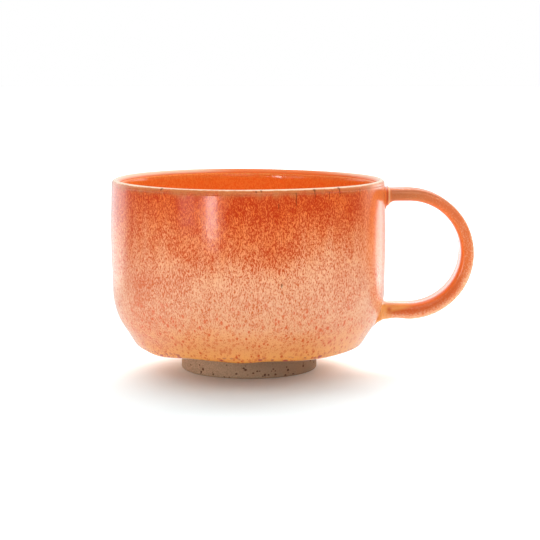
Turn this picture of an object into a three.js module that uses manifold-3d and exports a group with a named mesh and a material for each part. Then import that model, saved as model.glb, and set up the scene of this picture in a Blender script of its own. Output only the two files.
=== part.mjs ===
// Stoneware mug: a thrown clay cup on a bare foot ring, a strap handle stuck on with slip,
// and the coats of glaze over them. Millimetres, +Z up, +X towards the handle. The origin is
// on the surface that the mug stands on, under the middle of the whole outline.
import * as THREE from 'three';
import { mergeVertices } from 'three/addons/utils/BufferGeometryUtils.js';
import Module from 'manifold-3d';

const { degToRad, clamp } = THREE.MathUtils;

// Cup
const cupRadius = 50; // upright wall, over the glaze
const cupHeight = 70; // standing surface to the top of the glazed lip
const wallThickness = 2.4; // clay alone
const floorThickness = 4.5; // clay alone
const shoulderRadius = 25; // clay curve from the upright wall into the slope
const slopeAngle = degToRad(32.8); // slope above the base, measured from upright
const slopeLength = 7.5; // straight part of the slope
const cornerRadius = 2.3; // clay edge between the slope and the base
const insideCornerRadius = 6; // clay curve between the inside slope and the floor

// Foot
const footHeight = 9.4; // standing surface to the clay base
const footRadius = 25.1;
const footWall = 4.6;
const footEdgeRadius = 0.8;
const footSlipThickness = 0.4;

// Handle, bare clay
const handleDrop = 5.6; // top of the lip to the middle of the upper run
const handleRise = 11.8; // clay base to the middle of the lower run
const handleRun = 9.1; // cup wall to the start of the bend
const strapWidth = 12.2;
const strapUpperThickness = 3.6;
const strapLowerThickness = 5.4;
const strapEdgeRadius = 1.4;

// Slip fillets where the handle meets the cup
const upperTopFillet = 0.6;
const upperUnderFillet = 2;
const upperSideFillet = 0.8;
const lowerTopFillet = 2;
const lowerUnderFillet = 4.2;
const lowerSideFillet = 1.6;

// Glaze
const glazeThickness = 0.4;
const glazeBeadRise = 0.3; // how far the rolled lower edge stands proud of the coat
const glazeFootMargin = 1.5; // bare base between the foot and the rolled edge

// Fits
const fitClearance = 0.3; // between a piece and the neighbour that it is cut to

// Fineness of the facets
const turnSegments = 44;
const arcDivisions = 2; // each makes two chords
const lipDivisions = 3;
const bendSteps = 24;
const filletSteps = 4;
const edgeSteps = 3;
const mergeDistance = 1e-4;

const wasm = await Module();
wasm.setup();

// Places worked out from the sizes
const clayRadius = cupRadius - glazeThickness;
const insideRadius = clayRadius - wallThickness;
const lipRadius = wallThickness / 2;
const lipZ = cupHeight - glazeThickness - lipRadius; // centre of the rounded lip
const floorZ = footHeight + floorThickness;
const shoulder = new THREE.Vector2(
  clayRadius - shoulderRadius,
  footHeight + cornerRadius * (1 - Math.sin(slopeAngle))
    + slopeLength * Math.cos(slopeAngle) + shoulderRadius * Math.sin(slopeAngle),
);
const insideShoulderRadius = shoulderRadius - wallThickness;
const insideSlopeTop = shoulder.y - insideShoulderRadius * Math.sin(slopeAngle);
const insideCorner = Math.min(
  insideCornerRadius,
  (insideSlopeTop - floorZ) / (1 - Math.sin(slopeAngle)),
);

// Centre of the round edge between the slope, which lies slopeReach from the shoulder's centre,
// and a level face at height levelZ.
function cornerCentre(slopeReach, levelZ, radius) {
  const z = levelZ + radius;
  const across = slopeReach - radius + Math.sin(slopeAngle) * (z - shoulder.y);
  return new THREE.Vector2(shoulder.x + across / Math.cos(slopeAngle), z);
}

// Outside of the cup from the base up to the lip, with a coat of that thickness on the clay.
function outsidePoints(startRadius, coat) {
  const corner = cornerCentre(shoulderRadius, footHeight, cornerRadius);
  const path = new THREE.Path();
  path.moveTo(startRadius, footHeight - coat);
  path.lineTo(corner.x, footHeight - coat);
  path.absarc(corner.x, corner.y, cornerRadius + coat, -Math.PI / 2, -slopeAngle);
  path.absarc(shoulder.x, shoulder.y, shoulderRadius + coat, -slopeAngle, 0);
  path.lineTo(clayRadius + coat, lipZ);
  return path.getPoints(arcDivisions);
}

// Inside of the cup from the middle of the floor up to the lip.
function insidePoints(coat) {
  const corner = cornerCentre(insideShoulderRadius, floorZ, insideCorner);
  const path = new THREE.Path();
  path.moveTo(0, floorZ + coat);
  path.lineTo(corner.x, floorZ + coat);
  path.absarc(corner.x, corner.y, insideCorner - coat, -Math.PI / 2, -slopeAngle);
  path.absarc(shoulder.x, shoulder.y, insideShoulderRadius - coat, -slopeAngle, 0);
  path.lineTo(insideRadius - coat, lipZ);
  return path.getPoints(arcDivisions);
}

// Rounded lip from its outer side over the top to its inner side.
function lipPoints(coat) {
  const path = new THREE.Path();
  path.absarc(clayRadius - lipRadius, lipZ, lipRadius + coat, 0, Math.PI);
  return path.getPoints(lipDivisions);
}

// Merges shared vertices and drops the triangles that have no width, as at a pole.
function cleaned(geometry) {
  geometry.deleteAttribute('normal');
  geometry.deleteAttribute('uv');
  const merged = mergeVertices(geometry, mergeDistance);
  const index = merged.index.array;
  const kept = [];
  for (let i = 0; i < index.length; i += 3) {
    const [a, b, c] = index.slice(i, i + 3);
    if (a !== b && b !== c && c !== a) {
      kept.push(a, b, c);
    }
  }
  merged.setIndex(kept);
  merged.computeVertexNormals();
  return merged;
}

// Turns an outline of radius and height about the cup's upright axis.
function turned(points) {
  const geometry = new THREE.LatheGeometry(points, turnSegments);
  geometry.rotateX(Math.PI / 2);
  return cleaned(geometry);
}

function closed(points) {
  return [...points, points[0].clone()];
}

function solidFrom(geometry) {
  return new wasm.Manifold(new wasm.Mesh({
    numProp: 3,
    vertProperties: Float32Array.from(geometry.attributes.position.array),
    triVerts: Uint32Array.from(geometry.index.array),
  }));
}

function geometryFrom(solid) {
  const mesh = solid.getMesh();
  const geometry = new THREE.BufferGeometry();
  geometry.setAttribute('position', new THREE.BufferAttribute(mesh.vertProperties, mesh.numProp));
  geometry.setIndex(new THREE.BufferAttribute(mesh.triVerts, 1));
  return cleaned(geometry);
}

// The whole cup as a plug, grown by a coat, which cuts the handle's ends to the wall.
function cupPlug(coat) {
  const points = outsidePoints(0, coat);
  points.push(new THREE.Vector2(0, lipZ));
  return solidFrom(turned(points));
}

function cupBody() {
  return turned([...outsidePoints(0, 0), ...lipPoints(0), ...insidePoints(0).reverse()]);
}

function footRing() {
  const innerRadius = footRadius - footWall;
  const topZ = footHeight - footSlipThickness;
  const path = new THREE.Path();
  path.moveTo(innerRadius, topZ);
  path.lineTo(innerRadius, footEdgeRadius);
  path.absarc(innerRadius + footEdgeRadius, footEdgeRadius, footEdgeRadius, Math.PI, 1.5 * Math.PI);
  path.absarc(footRadius - footEdgeRadius, footEdgeRadius, footEdgeRadius, -Math.PI / 2, 0);
  path.lineTo(footRadius, topZ);
  return turned(closed(path.getPoints(arcDivisions)));
}

function footSlip() {
  const path = new THREE.Path();
  path.moveTo(footRadius - footWall, footHeight - footSlipThickness);
  path.lineTo(footRadius, footHeight - footSlipThickness);
  path.lineTo(footRadius, footHeight);
  path.lineTo(footRadius - footWall, footHeight);
  return turned(closed(path.getPoints()));
}

// The rolled lower edge is an arc on the base that swells past the coat beside it.
function outerGlazeShell() {
  const beadRadius = glazeThickness + glazeBeadRise;
  const beadCentre = footRadius + glazeFootMargin + beadRadius;
  const beadEnd = 2 * Math.PI - Math.asin(glazeThickness / beadRadius);
  const bead = new THREE.Path();
  bead.absarc(beadCentre, footHeight, beadRadius, Math.PI, beadEnd);
  const coatStart = beadCentre + beadRadius * Math.cos(beadEnd);
  const coat = outsidePoints(coatStart, glazeThickness);
  const backing = outsidePoints(beadCentre, 0).reverse();
  return turned(closed([...bead.getPoints(arcDivisions), ...coat, ...backing]));
}

function linerGlaze() {
  return turned([...insidePoints(0), ...insidePoints(glazeThickness).reverse()]);
}

function lipGlaze() {
  return turned(closed([...lipPoints(glazeThickness), ...lipPoints(0).reverse()]));
}

// Lean of the clay wall from upright, and its radius, at a height.
function wallLean(z) {
  return Math.asin(clamp((shoulder.y - z) / shoulderRadius, 0, Math.sin(slopeAngle)));
}

function wallRadius(z) {
  const slopeTop = shoulder.y - shoulderRadius * Math.sin(slopeAngle);
  const below = Math.max(0, slopeTop - z);
  return shoulder.x + shoulderRadius * Math.cos(wallLean(z)) - below * Math.tan(slopeAngle);
}

// Middle line of the handle: out along the upper run, round the bend, back along the lower run.
// A station's share goes from 0 on the upper run to 1 on the lower one.
const upperZ = cupHeight - handleDrop;
const lowerZ = footHeight + handleRise;
const bendRadius = (upperZ - lowerZ) / 2;
const bendX = cupRadius + handleRun;

function strapThickness(share) {
  return strapUpperThickness + (strapLowerThickness - strapUpperThickness) * share ** 3;
}

// How far a fillet stands off the strap's face, at a distance from the wall. The wall leans away
// from the face, so that the fillet turns through what is left of a right angle.
function filletRise(radius, lean, distance) {
  const turn = Math.PI / 2 - lean;
  const along = clamp(Math.tan(turn / 2) - distance / radius, 0, Math.sin(turn));
  return radius * (1 - Math.sqrt(1 - along * along));
}

// A joint's fillets on the loop's outer side, its inner side and the strap's two edges.
const upperJoint = {
  share: 0,
  z: upperZ,
  outerUp: 1,
  outerFillet: upperTopFillet,
  innerFillet: upperUnderFillet,
  sideFillet: upperSideFillet,
};
const lowerJoint = {
  share: 1,
  z: lowerZ,
  outerUp: -1,
  outerFillet: lowerUnderFillet,
  innerFillet: lowerTopFillet,
  sideFillet: lowerSideFillet,
};

function faceRise(joint, radius, up, x) {
  const faceZ = joint.z + up * strapThickness(joint.share) / 2;
  const lean = up > 0 ? 0 : wallLean(faceZ);
  return filletRise(radius, lean, x - wallRadius(faceZ));
}

function runStation(joint, x) {
  const half = strapThickness(joint.share) / 2;
  return {
    x,
    z: joint.z,
    turn: joint.outerUp * Math.PI / 2,
    outer: half + faceRise(joint, joint.outerFillet, joint.outerUp, x),
    inner: half + faceRise(joint, joint.innerFillet, -joint.outerUp, x),
    side: strapWidth / 2 + filletRise(joint.sideFillet, 0, x - wallRadius(joint.z)),
  };
}

function bendStation(share) {
  const turn = Math.PI * (0.5 - share);
  const half = strapThickness(share) / 2;
  return {
    x: bendX + bendRadius * Math.cos(turn),
    z: (upperZ + lowerZ) / 2 + bendRadius * Math.sin(turn),
    turn,
    outer: half,
    inner: half,
    side: strapWidth / 2,
  };
}

// Stations of a joint, from inside the wall out to where its widest fillet has run out.
function jointStations(joint) {
  const widest = Math.max(joint.outerFillet, joint.innerFillet, joint.sideFillet);
  const wallX = wallRadius(joint.z);
  const stations = [runStation(joint, wallX - 2 * widest)];
  for (let step = -filletSteps; step <= filletSteps; step++) {
    stations.push(runStation(joint, wallX + widest * step / filletSteps));
  }
  return stations;
}

const upperStations = jointStations(upperJoint);
const lowerStations = jointStations(lowerJoint).reverse();
const bendStations = [];
for (let step = 0; step <= bendSteps; step++) {
  bendStations.push(bendStation(step / bendSteps));
}
const strapStations = [upperStations.at(-1), ...bendStations, lowerStations[0]];
const handleStations = [
  ...upperStations.slice(0, -1),
  ...strapStations,
  ...lowerStations.slice(1),
];

// Section of the strap at a station: a rectangle with round edges, square to the middle line.
function sectionRing(station, coat) {
  const thin = Math.min(station.outer, station.inner, station.side);
  const edge = Math.min(strapEdgeRadius, thin) + coat;
  const across = station.side + coat - edge;
  const top = station.outer + coat - edge;
  const bottom = edge - station.inner - coat;
  const corners = [[across, top], [-across, top], [-across, bottom], [across, bottom]];
  const outward = new THREE.Vector3(Math.cos(station.turn), 0, Math.sin(station.turn));
  const ring = [];
  corners.forEach(([sideways, height], quarter) => {
    for (let step = 0; step <= edgeSteps; step++) {
      const angle = (quarter + step / edgeSteps) * Math.PI / 2;
      const point = new THREE.Vector3(station.x, sideways + edge * Math.cos(angle), station.z);
      ring.push(point.addScaledVector(outward, height + edge * Math.sin(angle)));
    }
  });
  return ring;
}

// Side faces between rows of rings, whose first point has the index first.
function sideFaces(rowCount, ringSize, first, outward) {
  const faces = [];
  for (let row = 0; row < rowCount - 1; row++) {
    for (let i = 0; i < ringSize; i++) {
      const a = first + row * ringSize + i;
      const b = first + row * ringSize + (i + 1) % ringSize;
      const c = b + ringSize;
      const d = a + ringSize;
      faces.push(...(outward ? [a, b, c, a, c, d] : [a, c, b, a, d, c]));
    }
  }
  return faces;
}

function meshed(points, faces) {
  const geometry = new THREE.BufferGeometry().setFromPoints(points);
  geometry.setIndex(faces);
  return cleaned(geometry);
}

// Solid bar through the stations, with flat ends.
function bar(stations, coat) {
  const rings = stations.map((station) => sectionRing(station, coat));
  const ringSize = rings[0].length;
  const last = (rings.length - 1) * ringSize;
  const faces = sideFaces(rings.length, ringSize, 0, true);
  for (let i = 1; i < ringSize - 1; i++) {
    faces.push(0, i + 1, i, last, last + i, last + i + 1);
  }
  return meshed(rings.flat(), faces);
}

// Coat round the bar through the stations, open at both ends.
function sleeve(stations, coat) {
  const outerRings = stations.map((station) => sectionRing(station, coat));
  const innerRings = stations.map((station) => sectionRing(station, 0));
  const rows = stations.length;
  const ringSize = outerRings[0].length;
  const inner = rows * ringSize;
  const last = (rows - 1) * ringSize;
  const faces = [...sideFaces(rows, ringSize, 0, true), ...sideFaces(rows, ringSize, inner, false)];
  for (let i = 0; i < ringSize; i++) {
    const next = (i + 1) % ringSize;
    faces.push(i, inner + i, inner + next, i, inner + next, next);
    faces.push(last + i, last + next, inner + last + next);
    faces.push(last + i, inner + last + next, inner + last + i);
  }
  return meshed([...outerRings, ...innerRings].flat(), faces);
}

// A collar stops short of the clay wall, and the handle's coat stops short of the cup's coat.
function handleJoint(stations) {
  return geometryFrom(solidFrom(bar(stations, 0)).subtract(cupPlug(fitClearance)));
}

function handleGlaze() {
  const coat = solidFrom(sleeve(handleStations, glazeThickness));
  return geometryFrom(coat.subtract(cupPlug(glazeThickness + fitClearance)));
}

// The outer coat has a window round each collar.
function outerGlaze() {
  const upperWindow = solidFrom(bar(upperStations, fitClearance));
  const lowerWindow = solidFrom(bar(lowerStations, fitClearance));
  const shell = solidFrom(outerGlazeShell());
  return geometryFrom(shell.subtract(upperWindow).subtract(lowerWindow));
}

function piece(name, geometry, color, roughness) {
  const material = new THREE.MeshStandardMaterial({ color, roughness, metalness: 0 });
  const mesh = new THREE.Mesh(geometry, material);
  mesh.name = name;
  return mesh;
}

const clayColor = '#a07f66';
const slipColor = '#8a6a54';
const clayRoughness = 0.9;
const glazeRoughness = 0.15;

const cup = new THREE.Group();
cup.add(
  piece('cup_body', cupBody(), clayColor, clayRoughness),
  piece('outer_glaze', outerGlaze(), '#dd7a42', glazeRoughness),
  piece('liner_glaze', linerGlaze(), '#e76425', glazeRoughness),
  piece('lip_glaze', lipGlaze(), '#e1bf9c', glazeRoughness),
);

const foot = new THREE.Group();
foot.add(
  piece('foot_ring', footRing(), clayColor, clayRoughness),
  piece('foot_slip', footSlip(), slipColor, clayRoughness),
);

const handle = new THREE.Group();
handle.add(
  piece('handle_strap', bar(strapStations, 0), clayColor, clayRoughness),
  piece('upper_handle_joint', handleJoint(upperStations), slipColor, clayRoughness),
  piece('lower_handle_joint', handleJoint(lowerStations), slipColor, clayRoughness),
  piece('handle_glaze', handleGlaze(), '#d0683a', glazeRoughness),
);

// The handle's outermost point and the far wall of the cup lie equally far from the origin.
const middle = bendStation(0.5);
const handleReach = middle.x + middle.outer + glazeThickness;

const mug = new THREE.Group();
mug.add(cup, foot, handle);
mug.position.x = (cupRadius - handleReach) / 2;

export default mug;
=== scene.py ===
from math import atan2, cos, pi, radians, sin, tan

import bpy
import numpy as np
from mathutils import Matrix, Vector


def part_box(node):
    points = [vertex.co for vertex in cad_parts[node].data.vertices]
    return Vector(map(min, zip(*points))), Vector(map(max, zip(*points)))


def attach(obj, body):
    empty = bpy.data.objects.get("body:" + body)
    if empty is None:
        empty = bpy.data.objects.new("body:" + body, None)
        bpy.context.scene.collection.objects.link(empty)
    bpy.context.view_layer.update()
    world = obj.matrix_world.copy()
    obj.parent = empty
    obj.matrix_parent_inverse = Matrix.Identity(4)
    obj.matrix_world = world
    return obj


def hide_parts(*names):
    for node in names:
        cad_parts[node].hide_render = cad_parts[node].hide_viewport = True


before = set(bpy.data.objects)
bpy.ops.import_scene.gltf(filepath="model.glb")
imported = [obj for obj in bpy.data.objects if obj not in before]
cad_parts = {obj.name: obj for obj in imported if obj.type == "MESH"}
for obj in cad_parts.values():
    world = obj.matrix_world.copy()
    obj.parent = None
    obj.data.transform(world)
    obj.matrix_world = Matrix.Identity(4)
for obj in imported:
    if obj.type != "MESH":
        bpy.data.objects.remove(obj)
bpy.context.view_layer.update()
mm = 0.001  # sizes below are in millimetres, the scene is in metres


# the cup's main places come from the CAD nodes, the curves between them from this dictionary
clayLow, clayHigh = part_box("cup_body")
lipLow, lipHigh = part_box("lip_glaze")
footLow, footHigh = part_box("foot_ring")
axisX = (clayLow.x + clayHigh.x) / 2 / mm  # upright axis of the cup
footRadius = (footHigh.y - footLow.y) / 2 / mm

cup = {
    "radius": (lipHigh.y - lipLow.y) / 2 / mm,  # over the glaze
    "height": lipHigh.z / mm,
    "base": clayLow.z / mm,  # underside of the clay
    "glaze": 0.4,
    "wall": 2.4,
    "floor": 4.5,
    "shoulder": 25.0,
    "slope": radians(32.8),  # from upright
    "slopeLength": 7.5,
    "corner": 2.3,
    "insideCorner": 6.0,
    "turns": 480,  # columns round the cup
    "step": 0.6,  # spacing of the rows on the surfaces that show
    "backStep": 3.0,  # spacing of the rows on the hidden sides
    "lipStep": 0.2,
    "lipBackStep": 0.8,
    "clayStep": 1.5,
}
clayRadius = cup["radius"] - cup["glaze"]
lipRound = cup["wall"] / 2
lipZ = cup["height"] - cup["glaze"] - lipRound
floorZ = cup["base"] + cup["floor"]
shoulderX = clayRadius - cup["shoulder"]
shoulderZ = (
    cup["base"]
    + cup["corner"] * (1 - sin(cup["slope"]))
    + cup["slopeLength"] * cos(cup["slope"])
    + cup["shoulder"] * sin(cup["slope"])
)


# straight stretch: start plus an even share of the way to the end
def linePart(start, end, step):
    start, end = np.array(start, float), np.array(end, float)
    count = max(2, int(np.ceil(np.linalg.norm(end - start) / step)) + 1)
    return start + np.linspace(0, 1, count)[:, None] * (end - start)


# arc: centre plus radius times the cosine and sine of an angle from first to last
def arcPart(centre, radius, first, last, step):
    count = max(7, int(np.ceil(abs(last - first) * radius / step)) + 1)
    angle = np.linspace(first, last, count)
    return np.array(centre) + radius * np.stack([np.cos(angle), np.sin(angle)], -1)


# parts end to end, with doubled points left out
def joined(*parts):
    points = np.concatenate(parts)
    gap = np.linalg.norm(np.diff(points, axis=0), axis=1)
    return points[np.concatenate([[True], gap > 1e-6])]


# centre of a round edge that touches the slope and a level face
def cornerCentre(slopeReach, level, radius):
    z = level + radius
    across = slopeReach - radius + sin(cup["slope"]) * (z - shoulderZ)
    return shoulderX + across / cos(cup["slope"]), z


# outside of the cup, base to lip: level, round corner, slope, shoulder arc, upright wall
def outsideProfile(startRadius, coat, step):
    centre = cornerCentre(cup["shoulder"], cup["base"], cup["corner"])
    corner = arcPart(centre, cup["corner"] + coat, -pi / 2, -cup["slope"], step)
    shoulder = arcPart((shoulderX, shoulderZ), cup["shoulder"] + coat, -cup["slope"], 0, step)
    return joined(
        linePart((startRadius, cup["base"] - coat), corner[0], step),
        corner,
        linePart(corner[-1], shoulder[0], step),
        shoulder,
        linePart(shoulder[-1], (clayRadius + coat, lipZ), step),
    )


# inside of the cup, middle of the floor to lip, in the same five stretches
def insideProfile(coat, step):
    reach = cup["shoulder"] - cup["wall"]
    centre = cornerCentre(reach, floorZ, cup["insideCorner"])
    corner = arcPart(centre, cup["insideCorner"] - coat, -pi / 2, -cup["slope"], step)
    shoulder = arcPart((shoulderX, shoulderZ), reach - coat, -cup["slope"], 0, step)
    return joined(
        linePart((0, floorZ + coat), corner[0], step),
        corner,
        linePart(corner[-1], shoulder[0], step),
        shoulder,
        linePart(shoulder[-1], (clayRadius - cup["wall"] - coat, lipZ), step),
    )


# half circle over the lip, outer side to inner side
def lipProfile(coat, step):
    return arcPart((clayRadius - lipRound, lipZ), lipRound + coat, 0, pi, step)


# turns a profile about the axis: (r cos t, r sin t, z) for every row and column
def revolved(profile, turns):
    angle = np.linspace(0, 2 * pi, turns, endpoint=False)
    r, z = profile[:, 0][:, None], profile[:, 1][:, None]
    flat = np.zeros_like(angle)[None, :]
    return np.stack([r * np.cos(angle), r * np.sin(angle), z + flat], -1)


# hand-thrown unevenness, most of which grows towards the lip
wobble = {
    "ringDepth": 0.006,
    "ringPitch": 4.6,
    "lean": 0.24,  # how far the lower part stands to one side
    "lipFlare": 0.3,  # how far the inner side leans out towards the lip
    "flareStart": 66.2,
    "lipPower": 4,  # of the height, with which the lip's waves and lifts grow
}
# waves round the cup, of the radius, of the lip's height and of the line where the flare starts:
# how many, phase, how far, power of the height that they grow with
roundWaves = [(2, 0.7, 0.13, 2), (3, -1.1, 0.065, 1)]
lipWaves = [(2, -0.4, 0.11, wobble["lipPower"]), (3, 1.7, 0.055, wobble["lipPower"])]
flareWaves = [(19, -pi / 2, 0.16, 0), (31, 2.0 - pi / 2, 0.16, 0)]
# slight swells of the wall and of the slope below it: height, how far, spread
bellies = [(48.0, 0.62, 17.0), (17.0, 0.55, 9.0)]
# where the lip stands higher: angle from +X in degrees, how much, spread in degrees
lipLifts = [(112, 0.5, 34), (150, 0.25, 24), (286, 0.28, 32)]


# share of the way from the base to the lip
def climbShare(z):
    return np.clip((z - cup["base"]) / (cup["height"] - cup["base"]), 0, 1)


# sum of waves: how far, times a power of the height, times the cosine of count times angle plus phase
def waved(waves, angle, rise):
    return sum(far * rise**power * np.cos(count * angle + phase) for count, phase, far, power in waves)


# soft hump: the exponential of minus the squared distance over its spread
def hump(distance, spread):
    return np.exp(-((distance / spread) ** 2))


# the sum of the swells at a height
def bellySwell(z):
    return sum(far * hump(z - height, spread) for height, far, spread in bellies)


# turn from a bearing in degrees, the short way round
def turnFrom(angle, bearing):
    return np.angle(np.exp(1j * (angle - radians(bearing))))


# moves points out by waves, rings, swells and flare, aside by the lean, and up by the lip's lifts
def thrown(points):
    x, y, z = points[..., 0], points[..., 1], points[..., 2]
    angle = np.arctan2(y, x)
    rise = climbShare(z)
    rings = wobble["ringDepth"] * rise * np.sin(2 * pi * z / wobble["ringPitch"] + angle)
    inner = np.clip((clayRadius - lipRound - np.hypot(x, y)) / (lipRound + cup["glaze"]), 0, 1)
    start = wobble["flareStart"] + waved(flareWaves, angle, rise)
    climb = np.maximum(0, (z - start) / (lipZ - start))
    flare = wobble["lipFlare"] * climb**2 * inner
    swell = waved(roundWaves, angle, rise) + rings + bellySwell(z) + flare
    lift = waved(lipWaves, angle, rise)
    for bearing, height, spread in lipLifts:
        lift = lift + height * rise ** wobble["lipPower"] * hump(turnFrom(angle, bearing), radians(spread))
    shift = swell * np.cos(angle) + wobble["lean"] * (1 - rise)
    return np.stack([x + shift, y + swell * np.sin(angle), z + lift], -1)


# quads between neighbours of a grid whose columns run round and whose rows may close too
def gridFaces(rows, columns, closedRows=False):
    row = np.arange(rows if closedRows else rows - 1)[:, None]
    column = np.arange(columns)[None, :]
    nextRow, nextColumn = (row + 1) % rows, (column + 1) % columns
    corners = [
        row * columns + column,
        row * columns + nextColumn,
        nextRow * columns + nextColumn,
        nextRow * columns + column,
    ]
    return np.stack(np.broadcast_arrays(*corners), -1).reshape(-1, 4)


# makes a piece from cup coordinates in millimetres, ties it to the body and hides its CAD nodes
def makePiece(name, points, faces, nodes, attributes=None):
    place = (points.reshape(-1, 3) + np.array([axisX, 0, 0])) * mm
    mesh = bpy.data.meshes.new(name)
    mesh.from_pydata(place.tolist(), [], faces)
    mesh.polygons.foreach_set("use_smooth", np.ones(len(mesh.polygons), bool))
    for label, values in (attributes or {}).items():
        layer = mesh.attributes.new(label, "FLOAT", "POINT")
        layer.data.foreach_set("value", np.ascontiguousarray(values, np.float32).ravel())
    mesh.update()
    piece = bpy.data.objects.new(name, mesh)
    bpy.context.scene.collection.objects.link(piece)
    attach(piece, "root")
    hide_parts(*nodes)
    print(name, len(mesh.vertices), "vertices")
    return piece


# closed ring of material: the profile closes on itself
def ringPiece(name, points, nodes, attributes=None):
    rows, columns = points.shape[:2]
    faces = gridFaces(rows, columns, closedRows=True).tolist()
    return makePiece(name, points, faces, nodes, attributes)


# closed bowl of material: the first and last rows shrink to one point each
def bowlPiece(name, points, nodes):
    rows, columns = points.shape[0] - 2, points.shape[1]
    body = points[1:-1].reshape(-1, 3)
    poles = np.stack([points[0, 0], points[-1, 0]])
    column = np.arange(columns)
    after = (column + 1) % columns
    firstPole, lastPole = len(body), len(body) + 1
    lastRow = (rows - 1) * columns
    fans = np.concatenate([
        np.stack([np.full(columns, firstPole), after, column], -1),
        np.stack([np.full(columns, lastPole), lastRow + column, lastRow + after], -1),
    ])
    faces = gridFaces(rows, columns).tolist() + fans.tolist()
    return makePiece(name, np.concatenate([body, poles]), faces, nodes)


# outer coat: a skin that thickens where it ran down to the corner, and ends in a rolled edge
outerGlaze = {
    "footMargin": 1.5,
    "beadRise": 0.3,
    "beadStep": 0.15,
    "pool": 0.22,  # extra thickness round the lower corner
    "poolReach": 4.2,
    "dripPool": 0.3,  # share of a drip's hang that thickens the coat
}
# uneven lower edge: angle from +X in degrees, how far it hangs down, spread in degrees
drips = [
    (219, 0.62, 12),
    (241, -0.26, 9),
    (266, 0.36, 8),
    (281, -0.15, 6),
    (305, 0.34, 16),
    (20, 0.3, 14),
    (58, -0.2, 12),
    (100, 0.36, 18),
    (143, -0.22, 12),
    (178, 0.25, 14),
]


# bead, coat and hidden back in one profile, turned about the axis
def makeOuterCoat():
    beadRadius = cup["glaze"] + outerGlaze["beadRise"]
    beadX = footRadius + outerGlaze["footMargin"] + beadRadius
    beadEnd = 2 * pi - np.arcsin(cup["glaze"] / beadRadius)
    bead = arcPart((beadX, cup["base"]), beadRadius, pi, beadEnd, outerGlaze["beadStep"])
    coat = outsideProfile(bead[-1][0], cup["glaze"], cup["step"])
    back = outsideProfile(beadX, 0, cup["backStep"])[::-1]
    points = thrown(revolved(joined(bead, coat, back), cup["turns"]))
    shown = np.arange(points.shape[0])[:, None] < len(bead) + len(coat) - 1
    # near the corner a pool stands off the surface along the slope's normal, and drips hang down
    x, y, z = points[..., 0], points[..., 1], points[..., 2]
    angle = np.arctan2(y, x)
    cornerX, cornerZ = cornerCentre(cup["shoulder"], cup["base"], cup["corner"])
    away = np.hypot(np.hypot(x, y) - cornerX, z - cornerZ) / outerGlaze["poolReach"]
    near = shown * np.exp(-(away**4))
    hang = sum(
        depth * hump(turnFrom(angle, bearing), radians(spread)) for bearing, depth, spread in drips
    )
    pool = near * (outerGlaze["pool"] + outerGlaze["dripPool"] * hang)
    across, down = cos(cup["slope"]), sin(cup["slope"])
    points[..., 0] += pool * across * np.cos(angle)
    points[..., 1] += pool * across * np.sin(angle)
    points[..., 2] -= pool * down + near * hang
    return ringPiece("outerCoat", points, ["outer_glaze"])


# half circle over the lip and the smaller one below it, turned about the axis
def makeLipCoat():
    profile = joined(lipProfile(cup["glaze"], cup["lipStep"]), lipProfile(0, cup["lipBackStep"])[::-1])
    points = thrown(revolved(profile, cup["turns"]))
    return ringPiece("lipCoat", points, ["lip_glaze"])


# inside of the clay and, one coat further in, the glaze on it
def makeLinerCoat():
    profile = joined(insideProfile(0, cup["backStep"]), insideProfile(cup["glaze"], cup["step"])[::-1])
    points = thrown(revolved(profile, cup["turns"]))
    return bowlPiece("linerCoat", points, ["liner_glaze"])


# outside, lip and inside of the clay in one closed profile
def makeClayCup():
    inside = insideProfile(0, cup["backStep"])[::-1]
    profile = joined(outsideProfile(0, 0, cup["clayStep"]), lipProfile(0, cup["lipBackStep"]), inside)
    points = thrown(revolved(profile, cup["turns"] // 2))
    return bowlPiece("clayCup", points, ["cup_body"])


# foot: a turned ring of bare clay with soft edges, scratches round it and burnt-out pits
foot = {
    "height": footHigh.z / mm,
    "wall": 4.6,
    "edge": 0.8,
    "turns": 640,
    "step": 0.25,
    "topStep": 1.0,
    "topMargin": 0.01,  # the level top stays as it is
    "scratch": 0.02,
    "scratchRates": (7.1, 17.3),  # of two sets of scratches, in radians for each millimetre of height
    "scratchSway": 0.4,
    "pitDepth": 0.22,
    "pitRagged": 0.35,
    "raggedRates": (9, 5),  # across and up, in radians for each millimetre
    "pitCount": 120,
    "pitLow": 0.3,
    "pitWidth": (0.16, 0.5),
    "pitTall": (0.6, 1.5),  # height over width
    "seed": 11,
}
# larger pits on the side that faces the front: angle from +X in degrees, height, width, tallness
frontPits = [
    (228.0, 2.4, 0.5, 1.3),
    (225.9, 1.3, 0.45, 1.1),
    (211.6, 3.0, 0.4, 0.8),
    (265.4, 3.9, 0.45, 0.8),
    (267.0, 3.3, 0.6, 0.7),
    (259.3, 1.8, 0.5, 0.7),
    (253.2, 0.5, 0.4, 0.6),
    (276.6, 2.8, 0.42, 0.7),
    (278.6, 2.8, 0.34, 0.7),
    (286.2, 1.3, 0.4, 0.9),
    (292.3, 1.3, 0.5, 0.8),
    (290.3, 3.3, 0.4, 0.8),
    (292.0, 2.6, 0.36, 0.7),
    (301.6, 0.7, 0.55, 0.7),
    (304.1, 2.5, 0.55, 0.9),
    (302.8, 3.6, 0.36, 0.8),
    (309.6, 0.8, 0.5, 0.6),
    (321.9, 3.0, 0.5, 1.1),
]


# pits by chance, most of them narrow because the width follows the cube of a draw, and the front ones
def footPits():
    dice = np.random.default_rng(foot["seed"])
    count = foot["pitCount"]
    narrow, wide = foot["pitWidth"]
    angle = dice.uniform(0, 360, count)
    height = dice.uniform(foot["pitLow"], foot["height"], count)
    width = narrow + (wide - narrow) * dice.random(count) ** 3
    tall = dice.uniform(*foot["pitTall"], count)
    return np.concatenate([np.stack([angle, height, width, tall], -1), np.array(frontPits)])


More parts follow.
